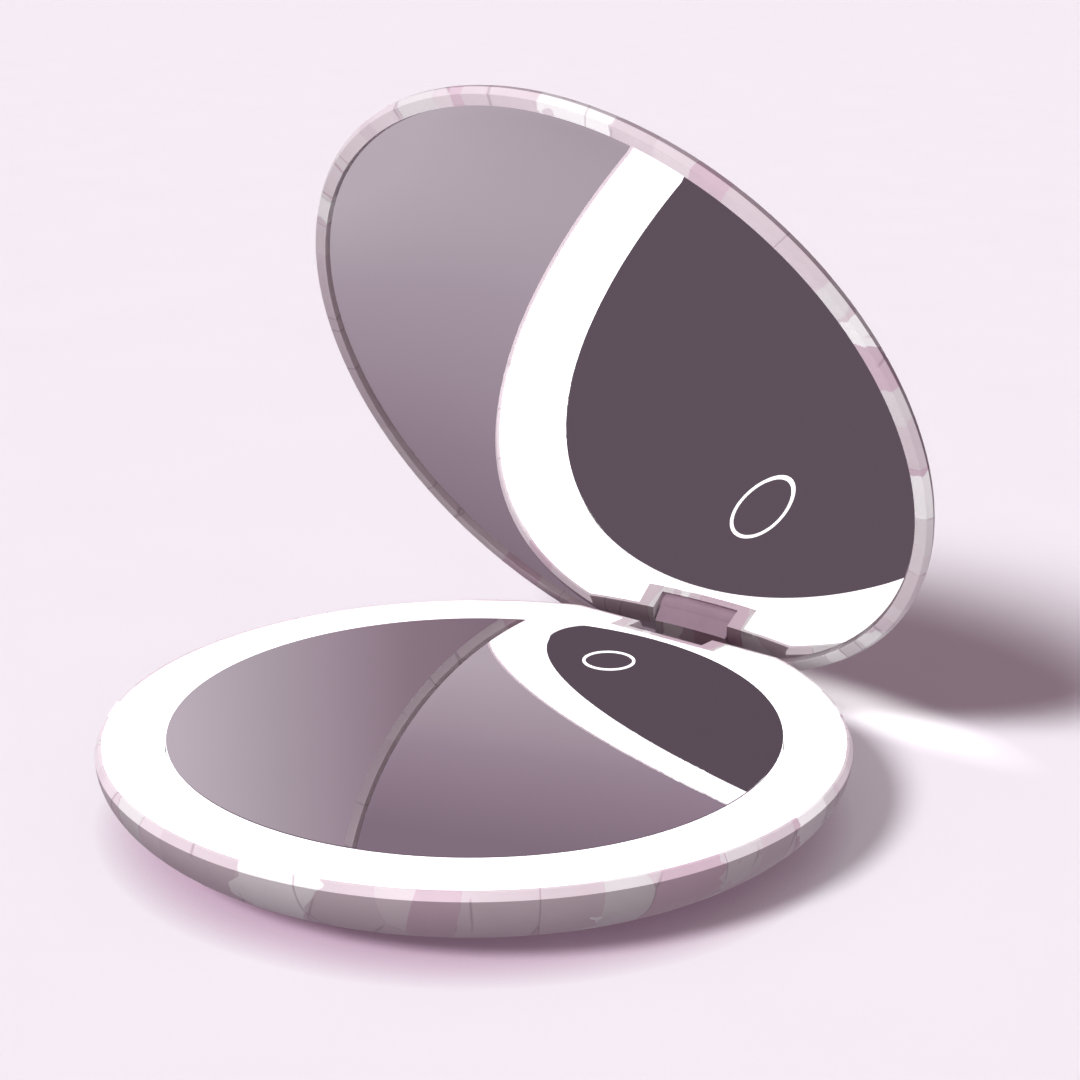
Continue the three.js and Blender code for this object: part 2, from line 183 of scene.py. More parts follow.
def fillet(before, corner, after, radius, steps=4):
    """Points that round one corner of an outline."""
    b, c, a = Vector(before), Vector(corner), Vector(after)
    to_b, to_a = (b - c).normalized(), (a - c).normalized()
    half = to_b.angle(to_a) / 2
    reach = radius / math.tan(half)
    centre = c + (to_b + to_a).normalized() * radius / math.sin(half)
    first, last = c + to_b * reach - centre, c + to_a * reach - centre
    points = []
    for i in range(steps + 1):
        spoke = first.normalized().slerp(last.normalized(), i / steps)
        points.append(tuple(centre + spoke * radius))
    return points


def rounded(corners, closed=True):
    """An outline whose (x, y, radius) corners are rounded."""
    points = []
    count = len(corners)
    for i, (x, y, radius) in enumerate(corners):
        inside = closed or 0 < i < count - 1
        if radius and inside:
            before, after = corners[i - 1][:2], corners[(i + 1) % count][:2]
            points += fillet(before, (x, y), after, radius)
        else:
            points.append((x, y))
    return points


def object_from(name, bm):
    bmesh.ops.remove_doubles(bm, verts=bm.verts, dist=1e-7)
    bmesh.ops.recalc_face_normals(bm, faces=bm.faces)
    mesh = bpy.data.meshes.new(name)
    bm.to_mesh(mesh)
    bm.free()
    obj = bpy.data.objects.new(name, mesh)
    bpy.context.collection.objects.link(obj)
    return obj


def lathe(name, outline, segments=SEGMENTS, closed=False):
    """A solid of revolution about +Z. An open outline starts and ends on the axis."""
    bm = bmesh.new()
    rows = []
    for r, z in outline:
        if r < 1e-6:
            rows.append([bm.verts.new((0, 0, z * MM))])
            continue
        row = []
        for k in range(segments):
            a = 2 * math.pi * k / segments
            row.append(bm.verts.new((r * math.cos(a) * MM, r * math.sin(a) * MM, z * MM)))
        rows.append(row)
    pairs = list(zip(rows, rows[1:]))
    if closed:
        pairs.append((rows[-1], rows[0]))
    for low, high in pairs:
        for k in range(segments):
            n = (k + 1) % segments
            ends = ((low, k), (low, n), (high, n), (high, k))
            corners = [row[i % len(row)] for row, i in ends]
            corners = [v for i, v in enumerate(corners) if v not in corners[:i]]
            if len(corners) > 2:
                bm.faces.new(corners)
    return object_from(name, bm)


def prism_x(name, outline, start, end):
    """A closed (y, z) outline carried along X."""
    bm = bmesh.new()
    near = [bm.verts.new((start * MM, y * MM, z * MM)) for y, z in outline]
    far = [bm.verts.new((end * MM, y * MM, z * MM)) for y, z in outline]
    bm.faces.new(near)
    bm.faces.new(far)
    for i in range(len(outline)):
        n = (i + 1) % len(outline)
        bm.faces.new((near[i], near[n], far[n], far[i]))
    return object_from(name, bm)


def block(name, x, y, z):
    """A box between the two ends given for each axis."""
    return prism_x(name, [(y[0], z[0]), (y[1], z[0]), (y[1], z[1]), (y[0], z[1])], *x)


def rod_x(name, radius, half, steps=64):
    """A rod about the hinge's axis, half its length each way."""
    outline = ellipse((HINGE.y, HINGE.z), radius, radius, 0, 360, steps)[:-1]
    return prism_x(name, outline, -half, half)


def slot_outline(width, height, z, steps=16):
    """A slot shape in (y, z), its long side along Y."""
    end = height / 2
    flat = width / 2 - end
    right = ellipse((flat, z), end, end, -90, 90, steps)
    left = ellipse((-flat, z), end, end, 90, 270, steps)
    return right + left


def boolean(obj, operation, *others):
    """Joins, cuts or crosses obj with others, which are used up."""
    for other in others:
        modifier = obj.modifiers.new("cut", "BOOLEAN")
        modifier.operation = operation
        modifier.solver = "MANIFOLD"
        modifier.object = other
        graph = bpy.context.evaluated_depsgraph_get()
        mesh = bpy.data.meshes.new_from_object(obj.evaluated_get(graph))
        obj.modifiers.clear()
        obj.data = mesh
        bpy.data.objects.remove(other)
    return obj


def smooth(obj, angle=30):
    """Smooth shading that keeps flat faces flat up to their rounded edges."""
    obj.data.polygons.foreach_set("use_smooth", [True] * len(obj.data.polygons))
    obj.data.set_sharp_from_angle(angle=math.radians(angle))
    weighted = obj.modifiers.new("flat_faces", "WEIGHTED_NORMAL")
    weighted.keep_sharp = True
    weighted.weight = 100
    return obj


def place(obj, body, slot, material, *nodes):
    """Finishes a piece, gives it to its body and lets it stand for its CAD nodes."""
    smooth(obj)
    obj.data.materials.clear()
    obj.data.materials.append(material)
    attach(obj, body)
    if nodes:
        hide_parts(*nodes)
    return obj


def open_lid(obj):
    """Turns a piece drawn on the closed lid to where the open lid has it."""
    scale = Matrix.Scale(MM, 4)
    obj.data.transform(scale @ OPEN_LID @ scale.inverted())
    return obj


# ---- Materials ----------------------------------------------------------------------------
def srgb(*channels):
    """A colour given as sRGB 0-255, in the renderer's linear values."""
    linear = []
    for c in channels:
        c /= 255
        linear.append(c / 12.92 if c <= 0.04045 else ((c + 0.055) / 1.055) ** 2.4)
    return (*linear, 1)


class Tree:
    """An emptied node tree with short ways to add to it."""

    def __init__(self, owner):
        owner.use_nodes = True
        self.tree = owner.node_tree
        self.tree.nodes.clear()

    def add(self, kind, **settings):
        node = self.tree.nodes.new(kind)
        for key, value in settings.items():
            setattr(node, key, value)
        return node

    def join(self, source, target):
        self.tree.links.new(source, target)

    def fill(self, socket, value):
        if isinstance(value, bpy.types.NodeSocket):
            self.join(value, socket)
        else:
            socket.default_value = value

    def math(self, operation, a, b=0.0, clamp=False):
        node = self.add("ShaderNodeMath", operation=operation, use_clamp=clamp)
        self.fill(node.inputs[0], a)
        self.fill(node.inputs[1], b)
        return node.outputs[0]

    def vector(self, operation, a, b=(0, 0, 0)):
        node = self.add("ShaderNodeVectorMath", operation=operation)
        self.fill(node.inputs[0], a)
        self.fill(node.inputs[1], b)
        return node.outputs["Value" if operation in ("LENGTH", "DOT_PRODUCT") else "Vector"]

    def channels(self, colour):
        node = self.add("ShaderNodeSeparateColor")
        self.join(colour, node.inputs[0])
        return node.outputs

    def axes(self, vector):
        node = self.add("ShaderNodeSeparateXYZ")
        self.join(vector, node.inputs[0])
        return node.outputs

    def choose(self, share, first, second):
        node = self.add("ShaderNodeMixShader")
        for socket, source in zip(node.inputs, (share, first, second)):
            self.join(source, socket)
        return node.outputs[0]

    def emission(self, colour, strength=1.0):
        node = self.add("ShaderNodeEmission")
        self.fill(node.inputs["Color"], colour)
        self.fill(node.inputs["Strength"], strength)
        return node.outputs[0]

    def background(self, colour):
        node = self.add("ShaderNodeBackground")
        self.fill(node.inputs["Color"], colour)
        return node.outputs[0]

    def scaled(self, a, factor):
        node = self.add("ShaderNodeVectorMath", operation="SCALE")
        self.fill(node.inputs[0], a)
        self.fill(node.inputs["Scale"], factor)
        return node.outputs["Vector"]

    def place(self):
        return self.add("ShaderNodeTexCoord").outputs["Object"]

    def noise(self, where, scale, detail=3.0, roughness=0.55, colour=False):
        node = self.add("ShaderNodeTexNoise")
        self.fill(node.inputs["Vector"], where)
        node.inputs["Scale"].default_value = scale
        node.inputs["Detail"].default_value = detail
        node.inputs["Roughness"].default_value = roughness
        return node.outputs["Color" if colour else 0]

    def cells(self, where, scale, feature="F1"):
        node = self.add("ShaderNodeTexVoronoi", feature=feature)
        self.fill(node.inputs["Vector"], where)
        node.inputs["Scale"].default_value = scale
        return node

    def ramp(self, value, stops, interpolation="LINEAR"):
        node = self.add("ShaderNodeValToRGB")
        node.color_ramp.interpolation = interpolation
        elements = node.color_ramp.elements
        for _ in range(len(stops) - 2):
            elements.new(0.5)
        for element, (position, colour) in zip(elements, stops):
            element.position = position
            element.color = colour
        self.fill(node.inputs[0], value)
        return node.outputs[0]

    def spread(self, value, low, high, to_low=0.0, to_high=1.0, smoothed=False):
        node = self.add("ShaderNodeMapRange")
        if smoothed:
            node.interpolation_type = "SMOOTHSTEP"
        self.fill(node.inputs[0], value)
        for i, number in enumerate((low, high, to_low, to_high)):
            node.inputs[i + 1].default_value = number
        return node.outputs[0]

    def blend(self, share, a, b, mode="MIX"):
        node = self.add("ShaderNodeMix", data_type="RGBA", blend_type=mode)
        self.fill(node.inputs["Factor"], share)
        self.fill(node.inputs["A"], a)
        self.fill(node.inputs["B"], b)
        return node.outputs["Result"]


class Nodes(Tree):
    """A material with one principled shader."""

    def __init__(self, name):
        self.material = bpy.data.materials.new(name)
        super().__init__(self.material)
        self.output = self.add("ShaderNodeOutputMaterial")
        self.shader = self.add("ShaderNodeBsdfPrincipled")
        self.join(self.shader.outputs[0], self.output.inputs["Surface"])

    def set(self, **values):
        for key, value in values.items():
            self.fill(self.shader.inputs[key.replace("_", " ")], value)

    def bump(self, height, strength, distance):
        node = self.add("ShaderNodeBump")
        node.inputs["Strength"].default_value = strength
        node.inputs["Distance"].default_value = distance
        self.join(height, node.inputs["Height"])
        self.join(node.outputs[0], self.shader.inputs["Normal"])


MAUVE = srgb(217, 204, 211)
PALE = srgb(224, 213, 219)
ROSE = srgb(211, 188, 201)
SILVER = srgb(224, 221, 223)
PETAL_WHITE = srgb(248, 248, 249)
INK_LINE = srgb(150, 130, 143)
MIRROR_DARK = srgb(99, 85, 96)
BLACK = (0, 0, 0, 1)
WHITE = (1, 1, 1, 1)

# Petals to the metre, and the draw above which one is white or silver on top.
PETALS = 170
SCRAPS = 220 / 255


def petal_plastic(name, to_axis, glow=0.0, slope=None):
    """Glossy plastic printed with torn petals that run across the rim.

    to_axis takes the object's coordinates to those of the closed shell about its own axis.
    The glow is painted light, the ring's light painted onto the surface; slope paints it stronger
    in one direction."""
    n = Nodes(name)
    turn = n.add("ShaderNodeMapping")
    location, rotation, _ = to_axis.decompose()
    n.join(n.place(), turn.inputs["Vector"])
    turn.inputs["Location"].default_value = location
    turn.inputs["Rotation"].default_value = rotation.to_euler()
    here = turn.outputs[0]
    # Round the rim the petals keep their angle, and nearer the axis they are even in size.
    flat = n.vector("MULTIPLY", here, (1, 1, 0))
    radius = n.vector("LENGTH", flat)
    share = n.math("MULTIPLY", radius, 1 / (RIM_R * MM))
    wave = n.math("SINE", n.math("MULTIPLY", share, math.pi / 2))
    stretch = n.math("DIVIDE", wave, n.math("MAXIMUM", share, 0.02))
    height = n.vector("MULTIPLY", here, (0, 0, 0.3))
    mapped = n.vector("ADD", n.scaled(flat, stretch), height)

    def torn(amount, fineness, shift, detail):
        moved = n.vector("ADD", here, shift)
        push = n.noise(moved, fineness, detail=detail, roughness=0.6, colour=True)
        centred = n.vector("SUBTRACT", push, (0.5, 0.5, 0.5))
        return n.vector("ADD", mapped, n.scaled(centred, amount))

    broad = torn(0.0016, 70, (0.1, 0.2, 0.3), 1.0)
    pick = n.channels(n.cells(broad, PETALS).outputs["Color"])
    tone = n.ramp(
        pick[0],
        [(0.0, MAUVE), (0.42, PALE), (0.68, ROSE), (0.76, MAUVE), (0.9, SILVER)],
        "CONSTANT",
    )
    scraps = torn(0.005, 210, (0.7, 0.4, 0.9), 2.0)
    lift = n.channels(n.cells(scraps, PETALS).outputs["Color"])
    for channel, colour, cover in ((lift[2], SILVER, 0.7), (lift[1], PETAL_WHITE, 0.9)):
        lifted = n.math("GREATER_THAN", channel, SCRAPS)
        tone = n.blend(n.math("MULTIPLY", lifted, cover), tone, colour)
    edge = n.cells(broad, PETALS, "DISTANCE_TO_EDGE")
    line = n.spread(edge.outputs["Distance"], 0.0, 0.022, 1.0, 0.0)
    some = n.spread(n.noise(here, 140, detail=1), 0.48, 0.54)
    tone = n.blend(n.math("MULTIPLY", n.math("MULTIPLY", line, some), 0.55), tone, INK_LINE)
    cloud = n.spread(n.noise(here, 300, detail=2), 0.3, 0.7, 0.965, 1.0)
    tint = n.add("ShaderNodeCombineColor")
    for i in range(3):
        n.join(cloud, tint.inputs[i])
    tone = n.blend(1.0, tone, tint.outputs[0], "MULTIPLY")
    n.set(
        Base_Color=tone,
        Roughness=n.spread(n.noise(here, 900, detail=2), 0.3, 0.7, 0.34, 0.42),
        Coat_Weight=0.2,
        Coat_Roughness=0.28,
        IOR=1.47,
    )
    # Painted light: the glow grows along slope, so one side is painted lighter than the other.
    if slope:
        lit = n.math("ADD", n.vector("DOT_PRODUCT", here, slope), glow, clamp=True)
        n.set(Emission_Color=n.blend(lit, BLACK, tone), Emission_Strength=1.0)
    elif glow:
        n.set(Emission_Color=tone, Emission_Strength=glow)
    n.bump(n.noise(here, 900, detail=1), 0.02, 0.00001)
    return n.material


def opal():
    """Milky diffuser that glows evenly, as the LEDs below it make it do."""
    n = Nodes("opal_diffuser")
    grain = n.noise(n.place(), 700, detail=3)
    n.set(
        Base_Color=n.ramp(grain, [(0.3, srgb(248, 247, 249)), (0.7, srgb(255, 255, 255))]),
        Roughness=n.spread(grain, 0.3, 0.7, 0.38, 0.46),
        Emission_Color=WHITE,
        Emission_Strength=1.0,
        IOR=1.49,
    )
    n.bump(grain, 0.05, 0.00003)
    return n.material


def go_dark(n, when):
    """Paints a plain dark tone in place of the shader when the factor says so."""
    shown = n.choose(when, n.shader.outputs[0], n.emission(MIRROR_DARK))
    n.join(shown, n.output.inputs["Surface"])


def mirror(name, once=False):
    """Silvered glass, with the faintest cloud in its silver.

    Seen in another mirror, one that reflects once shows a plain dark tone, painted in place of its
    reflection."""
    n = Nodes(name)
    cloud = n.noise(n.place(), 60, detail=2)
    silver = n.ramp(cloud, [(0.3, (0.895, 0.89, 0.895, 1)), (0.7, (0.905, 0.90, 0.905, 1))])
    n.set(Base_Color=silver, Metallic=1.0, Roughness=0.0)
    if once:
        go_dark(n, n.add("ShaderNodeLightPath").outputs["Is Glossy Ray"])
    return n.material


def white_ink():
    """Ink with a painted glow as bright as the ring, and a painted dark tone where one mirror
    shows it in another.
    """
    n = Nodes("white_ink")
    grain = n.noise(n.place(), 2500, detail=3)
    n.set(
        Base_Color=n.ramp(grain, [(0.35, srgb(248, 248, 248)), (0.65, srgb(255, 255, 255))]),
        Roughness=n.spread(grain, 0.3, 0.7, 0.4, 0.5),
        Emission_Color=WHITE,
        Emission_Strength=1.2,
    )
    # Painted dark tone in place of its reflection in the other mirror.
    depth = n.add("ShaderNodeLightPath").outputs["Ray Depth"]
    go_dark(n, n.math("GREATER_THAN", depth, 1.5))
    return n.material


def plain(name, dark, light, roughness, scale=500, metallic=0.0, bump=0.08, glow=0.0):
    """A moulded, painted or metal finish: two close colours mottled by noise."""
    n = Nodes(name)
    grain = n.noise(n.place(), scale, detail=4)
    n.set(
        Base_Color=n.ramp(grain, [(0.35, srgb(*dark)), (0.65, srgb(*light))]),
        Roughness=n.spread(grain, 0.3, 0.7, roughness - 0.05, roughness + 0.05),
        Metallic=metallic,
    )
    if glow:
        n.set(Emission_Color=srgb(*light), Emission_Strength=glow)
    n.bump(grain, bump, 0.00004)
    return n.material


def circuit_board():
    """Green solder mask over raised copper tracks."""
    n = Nodes("solder_mask")
    tracks = n.cells(n.vector("MULTIPLY", n.place(), (1, 1, 0)), 700, "DISTANCE_TO_EDGE")
    track = n.spread(tracks.outputs["Distance"], 0.05, 0.09, 1.0, 0.0)
    mask = n.ramp(n.noise(n.place(), 300), [(0.3, srgb(22, 78, 50)), (0.7, srgb(30, 96, 60))])
    n.set(Base_Color=n.blend(track, mask, srgb(58, 132, 84)), Roughness=0.35, IOR=1.5)
    n.bump(track, 0.2, 0.00003)
    return n.material


def brushed(name, dark, light, roughness):
    """Metal drawn along X."""
    n = Nodes(name)
    along = n.vector("MULTIPLY", n.place(), (0.05, 1, 1))
    grain = n.noise(along, 9000, detail=2)
    n.set(
        Base_Color=n.ramp(grain, [(0.3, srgb(*dark)), (0.7, srgb(*light))]),
        Metallic=1.0,
        Roughness=n.spread(grain, 0.3, 0.7, roughness - 0.06, roughness + 0.06),
    )
    n.bump(grain, 0.05, 0.00002)
    return n.material


to_closed = Matrix.Scale(MM, 4) @ OPEN_LID.inverted() @ Matrix.Scale(1 / MM, 4)
BASE_SKIN = petal_plastic("petal_plastic_base", Matrix.Identity(4))
# The rim's glow is painted light: emission makes the chamfer look lit by the ring.
BASE_RIM_PAINTED_GLOW = petal_plastic("petal_plastic_painted_glow_rim", Matrix.Identity(4), glow=0.52)
LID_SKIN = petal_plastic("petal_plastic_lid", to_closed)
# The bezel's glow is painted light, graded lighter towards the lid's far edge and its right side.
LID_BEZEL_PAINTED_GLOW = petal_plastic("petal_plastic_painted_glow_bezel", to_closed, 0.38, (4.0, -8.5, 0))
OPAL = opal()
BASE_MIRROR = mirror("silvered_glass_base", once=True)
LID_MIRROR = mirror("silvered_glass_lid")
INK = white_ink()
STEEL = brushed("steel", (150, 152, 156), (196, 198, 202), 0.24)
# The knuckle's glow is painted light, standing for the ring's light beside it.
KNUCKLE_PAINTED_GLOW = plain("mauve_plastic_painted_glow", (196, 168, 187), (203, 176, 194), 0.38, 300, glow=0.34)
WHITE_PLASTIC = plain("white_plastic", (226, 225, 224), (238, 237, 236), 0.48)
BLACK_PLASTIC = plain("black_plastic", (20, 20, 23), (34, 34, 38), 0.42, 1200)
GOLD = brushed("gold_contacts", (190, 148, 70), (226, 188, 104), 0.25)


# ---- Base ---------------------------------------------------------------------------------
def behind_rear_facet():
    """Everything the lid's face sweeps past or meets behind the hinge."""
    radius = LID_FACE - HINGE.z - REAR_CLEARANCE
    turn = 90 - FULLY_OPEN
    edge = ellipse((HINGE.y, HINGE.z), radius, radius, turn, 46, 24)
    away = math.radians(turn - 90)
    reach = 9
    low = (edge[0][0] + reach * math.cos(away), edge[0][1] + reach * math.sin(away))
    back, top = RIM_R + 5, FACE + 5
    return [low, *edge, (edge[-1][0], top), (back, top), (back, low[1])]


def hinge_slot():
    """The slot that the knuckle and the lid's arm swing in, open to the rear."""
    axis = (HINGE.y, HINGE.z)
    first = 180 - math.degrees(math.acos((HINGE.y - NOTCH_FRONT) / POCKET_R))
    last = 268.5
    bottom = math.radians(last)
    reach = 7
    low = HINGE.z + reach * math.sin(bottom)
    pocket = ellipse(axis, POCKET_R, POCKET_R, first, last, 28)
    back, top = RIM_R + 5, FACE + 2
    end = (HINGE.y + reach * math.cos(bottom), low)
    return [(NOTCH_FRONT, top), *pocket, end, (back, low), (back, top)]


def base_bowl():
    """The outer shell: a shallow bowl on a flat foot, its hinge block and its openings."""
    edge = FACE - CHAMFER_H
    seat_r = RIM_R - CHAMFER_W - LIP
    groove = [(21.9, 0), (22.1, 0.22), (22.7, 0.22), (22.9, 0)]
    dome = ellipse((FOOT_R, edge), RIM_R - FOOT_R, edge, -84, -0.5, 40)
    chamfer = fillet(dome[-2], (RIM_R, edge), (RIM_R - CHAMFER_W, FACE), ROUND)
    crest = fillet((RIM_R, edge), (RIM_R - CHAMFER_W, FACE), (seat_r, FACE), FINE_ROUND)
    outside = [(0, 0), *groove, (FOOT_R, 0), *dome[:-1], *chamfer, *crest, (0, FACE)]
    bowl = lathe("base_bowl", outside)

    across, depth = CAVITY_R - CAVITY_FLOOR_R, RING_LOW - CAVITY_FLOOR_Z
    inner = ellipse((CAVITY_FLOOR_R, RING_LOW), across, depth, -78, 0, 16)
    floor, top = CAVITY_FLOOR_Z, RING_LOW + 0.5
    cavity = lathe(
        "cavity", [(0, floor), (CAVITY_FLOOR_R, floor), *inner, (CAVITY_R, top), (0, top)]
    )
    top = FACE + 1
    seat = lathe("seat", [(0, RING_LOW), (seat_r, RING_LOW), (seat_r, top), (0, top)])
    for hollow, rear in ((cavity, CAVITY_REAR), (seat, SEAT_REAR)):
        boolean(hollow, "INTERSECT", block("room", (-FAR, FAR), (-FAR, rear), (-5, 20)))
        boolean(bowl, "DIFFERENCE", hollow)

    width = (-BLOCK_HALF, BLOCK_HALF)
    boolean(
        bowl,
        "UNION",
        block("hinge_block_foot", width, (BLOCK_FOOT_FRONT, BLOCK_BACK), (1.2, 8.2)),
        block("hinge_block_step", width, (BLOCK_STEP_FRONT, BLOCK_BACK), (7.7, 9.4)),
        block("hinge_block_frame", width, (BLOCK_FRONT, BLOCK_BACK), (9.0, FACE)),
    )
    boolean(
        bowl,
        "DIFFERENCE",
        prism_x("rear_facet", behind_rear_facet(), -25, 25),
        prism_x("hinge_slot", hinge_slot(), -POCKET_HALF, POCKET_HALF),
        rod_x("pin_hole", PIN_HOLE_R, BLOCK_HALF - 0.2, 32),
        prism_x("port_opening", slot_outline(*PORT_OPENING, PORT_Z), -46, -32),
    )
    place(bowl, "base", "patterned_shell", BASE_SKIN, "base_shell")
    bowl.data.materials.append(BASE_RIM_PAINTED_GLOW)
    # The rim chamfer and the top of the hinge block take the finish with the painted glow.
    for face in bowl.data.polygons:
        centre = face.center / MM
        on_rim = centre.z > edge + 0.05 and centre.xy.length > seat_r + 0.04
        on_block = centre.z > FACE - 0.05 and face.normal.z > 0.9 and centre.y > BLOCK_FRONT
        if on_rim or on_block:
            face.material_index = 1
    return bowl


def ring_diffuser():
    """The ring that the light comes through, cut straight in front of the hinge."""
    inner = MIRROR_R + RING_GAP
    outline = rounded(
        [
            (inner, RING_LOW, 0),
            (RING_OUTER_R, RING_LOW, 0),
            (RING_OUTER_R, FACE, ROUND),
            (inner, FACE, ROUND),
        ]
    )
    ring = lathe("ring_diffuser", outline, closed=True)
    half = BLOCK_HALF + 0.1
    boolean(
        ring,
        "DIFFERENCE",
        block("rear", (-FAR, FAR), (RING_REAR, FAR), (0, 20)),
        block("notch", (-half, half), (BLOCK_FRONT - 0.1, FAR), (0, 20)),
        block("step", (-half - 0.3, half + 0.3), (35, FAR), (0, 9.5)),
    )
    return place(ring, "base", "opal_plastic", OPAL, "light_ring")


def base_glass():
    back = glass_low.z
    corners = [(0, back, 0), (MIRROR_R, back, FINE_ROUND), (MIRROR_R, FACE, ROUND), (0, FACE, 0)]
    outline = rounded(corners, closed=False)
    glass = lathe("base_glass", outline)
    return place(glass, "base", "mirror_glass", BASE_MIRROR, "base_mirror")


def touch_mark():
    inner, outer = TOUCH_R - TOUCH_LINE, TOUCH_R
    top = circle_high.z
    outline = rounded([(inner, FACE, 0), (outer, FACE, 0), (outer, top, 0.04), (inner, top, 0.04)])
    mark = lathe("touch_mark", outline, 128, closed=True)
    mark.data.transform(Matrix.Translation((0, TOUCH_Y * MM, 0)))
    return place(mark, "base", "white_ink", INK, "touch_circle")


def charge_port():
    """The socket's drawn steel shell, its tongue and the contacts on the tongue."""
    mouth, back = port_low.x, port_high.x
    width, height = port_high.y - port_low.y, port_high.z - port_low.z
    shell = prism_x("port_shell", slot_outline(width, height, PORT_Z), mouth, back)
    room = slot_outline(width - 2 * PORT_WALL, height - 2 * PORT_WALL, PORT_Z)
    boolean(shell, "DIFFERENCE", prism_x("room", room, mouth - 1, back - 0.6))
    bevel(shell, 0.08)
    place(shell, "base", "steel", STEEL, "charge_port")

    low, high = tongue_low, tongue_high
    tongue = block("port_tongue", (low.x, high.x), (low.y, high.y), (low.z, high.z))
    bevel(tongue, 0.1)
    place(tongue, "base", "black_plastic", BLACK_PLASTIC, "charge_port_tongue")
    bm = bmesh.new()
    size = Matrix.Diagonal((*(side * MM for side in CONTACT_SIZE), 1))
    for z in (low.z, high.z):
        for i in range(CONTACTS):
            y = (i - (CONTACTS - 1) / 2) * CONTACT_PITCH
            centre = Matrix.Translation(((low.x + CONTACT_BACK) * MM, y * MM, z * MM))
            bmesh.ops.create_cube(bm, size=1, matrix=centre @ size)
    contacts = object_from("port_contacts", bm)
    bevel(contacts, 0.02)
    place(contacts, "base", "steel", GOLD)


def bevel(obj, width, angle=40):
    """Breaks the sharp edges of a finished mesh."""
    modifier = obj.modifiers.new("edge", "BEVEL")
    modifier.width = width * MM
    modifier.segments = 2
    modifier.limit_method = "ANGLE"
    modifier.angle_limit = math.radians(angle)
    graph = bpy.context.evaluated_depsgraph_get()
    mesh = bpy.data.meshes.new_from_object(obj.evaluated_get(graph))
    obj.modifiers.clear()
    obj.data = mesh
    return obj


# ---- Lid ----------------------------------------------------------------------------------
def glass_front(r):
    """Height of the magnifying mirror's face on the closed lid."""
    rim = math.sqrt(LID_CURVE**2 - LID_MIRROR_R**2)
    return LID_FACE + LID_SET_BACK + math.sqrt(LID_CURVE**2 - r * r) - rim


def behind_glass(distance, rim, steps=24):
    return [(rim * i / steps, glass_front(rim * i / steps) + distance) for i in range(steps + 1)]


def lid_bowl():
    """The outer shell: a low dome with its bezel, the hinge arm and the knuckle."""
    y, z = HINGE.y, HINGE.z
    face_r = RIM_R - CHAMFER_W
    recess, front, rim = (LID_RECESS_R, LID_FACE), (face_r, LID_FACE), (RIM_R, LID_EDGE)
    bezel = fillet((LID_RECESS_R, LID_EDGE), recess, front, FINE_ROUND)
    chamfer = fillet(recess, front, rim, FINE_ROUND)
    dome = ellipse((0, LID_EDGE), RIM_R, LID_DOME, 0.6, 90, 64)
    widest = fillet(front, rim, dome[0], ROUND)
    outline = [*behind_glass(LID_SEAT, LID_RECESS_R), *bezel, *chamfer, *widest, *dome]
    outline[-1] = (0, LID_EDGE + LID_DOME)
    bowl = lathe("lid_bowl", outline)
    arm = prism_x(
        "lid_arm",
        [
            (y - 0.4, z + 1.2),
            (y + 1.2, z + 1.0),
            (y + 5.1, z + 2.1),
            (RIM_R - 0.3, LID_FACE + 0.6),
            (LID_RECESS_R + 0.1, LID_FACE + 0.6),
            (LID_RECESS_R - 0.15, LID_FACE),
            (y + 0.9, LID_FACE - 0.15),
            (y - 0.6, z + 1.48),
        ],
        -KNUCKLE_HALF,
        KNUCKLE_HALF,
    )
    knuckle = rod_x("lid_knuckle", KNUCKLE_R, KNUCKLE_HALF, 96)
    boolean(bowl, "UNION", arm, knuckle)
    boolean(bowl, "DIFFERENCE", rod_x("pin_hole", PIN_HOLE_R, KNUCKLE_HALF + 1, 32))
    open_lid(bowl)
    place(bowl, "lid", "patterned_shell", LID_SKIN, "lid_shell")
    bowl.data.materials.append(KNUCKLE_PAINTED_GLOW)
    bowl.data.materials.append(LID_BEZEL_PAINTED_GLOW)
    close_lid = OPEN_LID.inverted()
    # The knuckle and the bezel faces take the finishes with painted glow.
    for face in bowl.data.polygons:
        centre = close_lid @ (face.center / MM)
        away = centre - HINGE
        if abs(away.x) < KNUCKLE_HALF + 0.01 and away.yz.length < KNUCKLE_R + 0.7:
            face.material_index = 1
        elif centre.z < LID_EDGE + 0.05 and centre.xy.length > LID_RECESS_R - 0.05:
            face.material_index = 2
    return bowl


def lid_glass():
    front = behind_glass(0, LID_MIRROR_R - 0.12)
    back = behind_glass(LID_GLASS, LID_MIRROR_R - 0.12)
    edge = [
        (LID_MIRROR_R, glass_front(LID_MIRROR_R) + 0.1),
        (LID_MIRROR_R, glass_front(LID_MIRROR_R) + LID_GLASS - 0.1),
    ]
    glass = lathe("lid_glass", [*front, *edge, *reversed(back)])
    open_lid(glass)
    return place(glass, "lid", "mirror_glass", LID_MIRROR, "lid_mirror")


base_skin = base_bowl()
ring_diffuser()
base_glass()
touch_mark()
charge_port()
lid_pieces = [lid_bowl(), lid_glass()]
# The base and the floor get no light back from the lid's mirror.
lid_pieces[1].visible_diffuse = False

